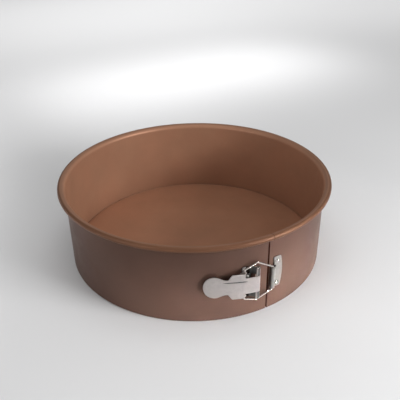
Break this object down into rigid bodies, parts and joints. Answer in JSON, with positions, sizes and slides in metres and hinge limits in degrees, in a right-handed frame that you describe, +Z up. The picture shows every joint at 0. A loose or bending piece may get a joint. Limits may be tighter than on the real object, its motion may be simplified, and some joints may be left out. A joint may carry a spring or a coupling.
{
  "type": "springform pan",
  "caption": "Round springform cake pan with a rolled rim, a lift-out base and an over-centre wire latch that opens the band.",
  "frame": {"origin": "on the pan's axis, in the plane the pan stands on", "axes": "+Z up along the pan's axis; the seam and the latch face -Y, and the lever points towards -X"},
  "size_m": [0.274, 0.2742, 0.0828],
  "materials": {
    "band_left": "satin metallic rose-brown coating, smoother copper-brown inside",
    "band_right": "satin metallic rose-brown coating, smoother copper-brown inside",
    "base_plate": "satin copper-brown non-stick coating",
    "catch_plate": "stamped, plated, satin",
    "catch_rivet_upper": "plated",
    "catch_rivet_lower": "plated",
    "latch_bracket": "stamped, plated, satin",
    "bracket_rivet_upper": "plated",
    "bracket_rivet_lower": "plated",
    "lever_pin": "plated",
    "lever": "stamped, plated, satin",
    "wire_bail": "drawn wire, plated, bright"
  },
  "bodies": {
    "band_left_body": {"band_left": "band_left", "latch_bracket": "latch_bracket", "bracket_rivet_upper": "bracket_rivet_upper", "bracket_rivet_lower": "bracket_rivet_lower", "lever_pin": "lever_pin"},
    "lever_body": {"lever": "lever"},
    "band_right_body": {"band_right": "band_right", "catch_plate": "catch_plate", "catch_rivet_upper": "catch_rivet_upper", "catch_rivet_lower": "catch_rivet_lower"},
    "bail_body": {"wire_bail": "wire_bail"},
    "base_body": {"base_plate": "base_plate"}
  },
  "joints": [
    {"name": "lever_pivot", "type": "hinge", "parent": "band_left_body", "child": "lever_body", "pos_m": [-0.01367, -0.13421, 0.0377], "axis": [0, 0, 1], "range_deg": [0, 100]},
    {"name": "band_spread", "type": "hinge", "parent": "band_left_body", "child": "band_right_body", "pos_m": [0, 0.1371, 0], "axis": [0, 0, 1], "range_deg": [0, 1.62]},
    {"name": "bail_swing", "type": "hinge", "parent": "band_right_body", "child": "bail_body", "pos_m": [0.00387, -0.13234, 0.0352], "axis": [0, 0, 1], "range_deg": [0, 29.2]},
    {"name": "base_lift", "type": "slide", "parent": "band_left_body", "child": "base_body", "axis": [0, 0, 1], "range_m": [0, 0.1]}
  ],
  "couplings": [
    {"joint": "band_spread", "follows": "lever_pivot", "ratio": 0.016105},
    {"joint": "bail_swing", "follows": "lever_pivot", "ratio": 0.29174}
  ]
}
